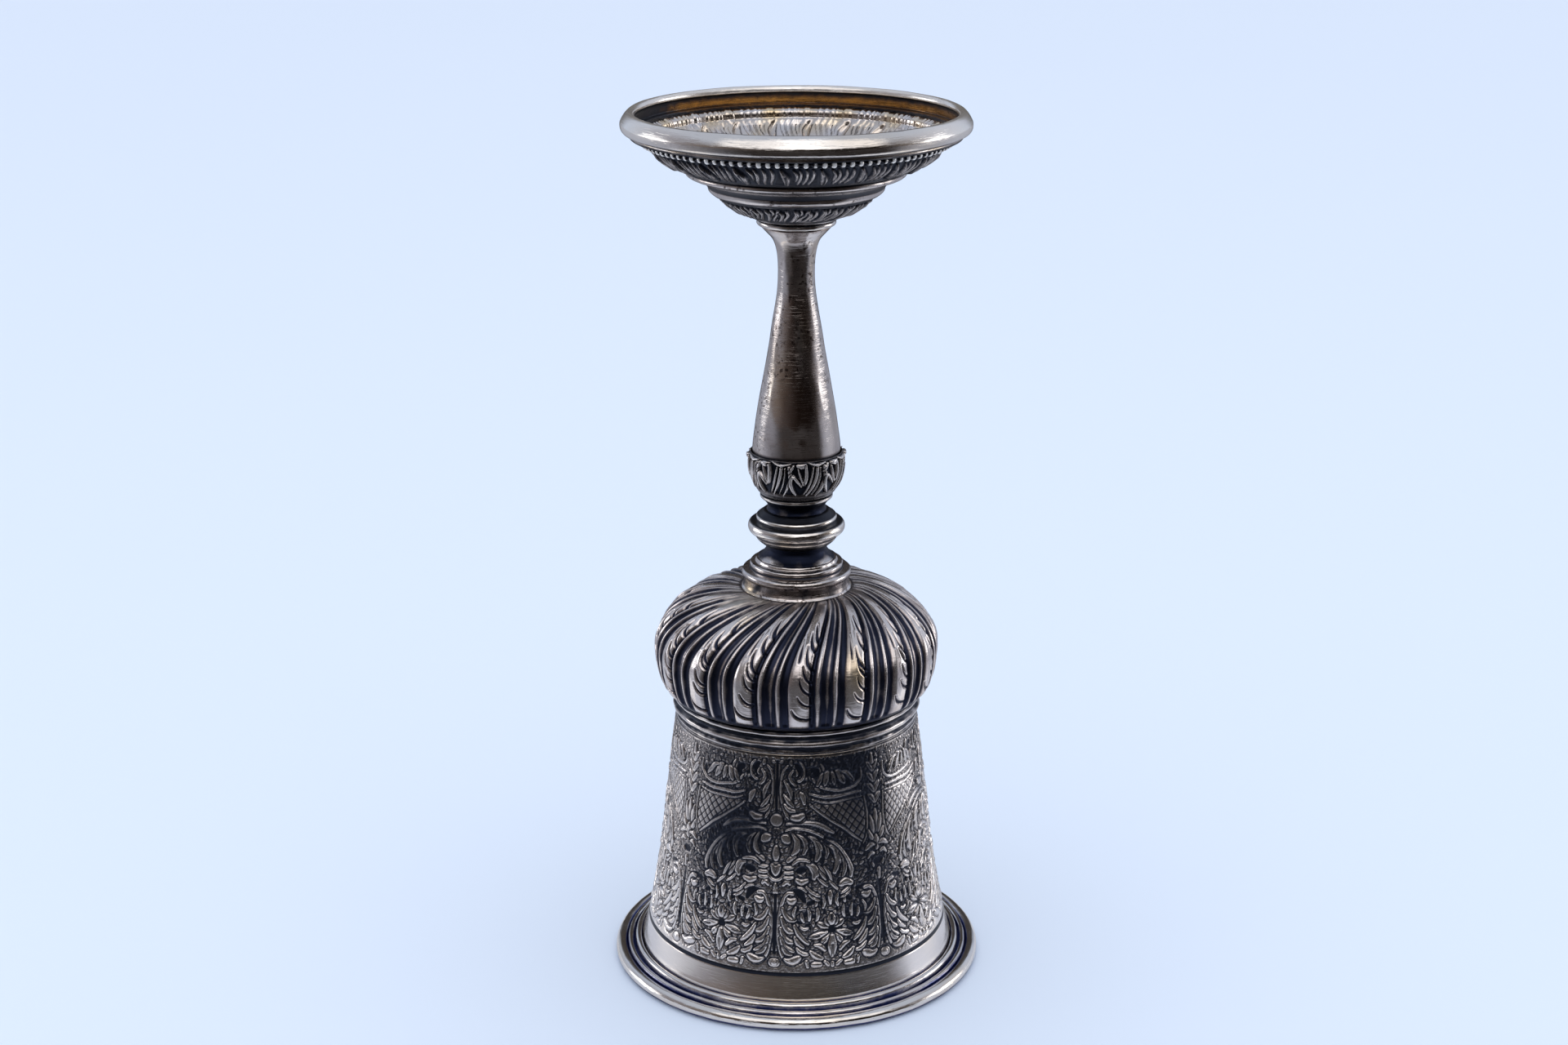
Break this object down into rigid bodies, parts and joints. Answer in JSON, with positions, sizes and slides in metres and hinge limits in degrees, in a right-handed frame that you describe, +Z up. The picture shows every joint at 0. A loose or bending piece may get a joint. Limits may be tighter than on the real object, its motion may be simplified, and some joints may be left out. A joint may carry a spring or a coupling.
{
  "type": "ceremonial goblet",
  "caption": "Chased silver ceremonial goblet standing inverted: engraved flaring cup with moulded lip ring, lobed bulb, beaded knop, baluster stem and leaf-banded dished foot.",
  "frame": {"origin": "centre of the lip ring's resting face, on the axis", "axes": "+Z up along the axis, from the cup's mouth to the foot; the object is turned, so X and Y are any two directions across it"},
  "size_m": [0.0688, 0.0688, 0.16],
  "materials": {
    "silver_worn": "worn silver, bright on the mouldings with dark tarnish in the grooves",
    "silver_oxidised": "chased silver with blue-black oxidised ground and rubbed high spots",
    "silver_warm": "smooth silver with warm brown toning and fine tarnish spots",
    "brass_fittings": "dull turned brass"
  },
  "bodies": {
    "root": {"lip_ring": "silver_worn", "cup_wall": "silver_oxidised", "junction_band": "silver_worn", "gadrooned_bulb": "silver_oxidised", "collar": "silver_warm", "lower_neck": "silver_oxidised", "knop": "silver_worn", "upper_neck": "silver_oxidised", "calyx_fillet": "silver_worn", "calyx": "silver_oxidised", "stem_baluster": "silver_warm", "collet_ring": "silver_worn", "foot_leaf_dome": "silver_oxidised", "foot_step": "silver_oxidised", "foot_leaf_band": "silver_oxidised", "beaded_wire": "silver_worn", "foot_rim": "silver_worn", "rod_flange": "brass_fittings", "tie_rod": "brass_fittings", "stem_lower_bush": "brass_fittings", "stem_upper_bush": "brass_fittings", "foot_boss_plate": "brass_fittings", "foot_washer": "brass_fittings", "foot_nut": "brass_fittings"}
  },
  "joints": []
}
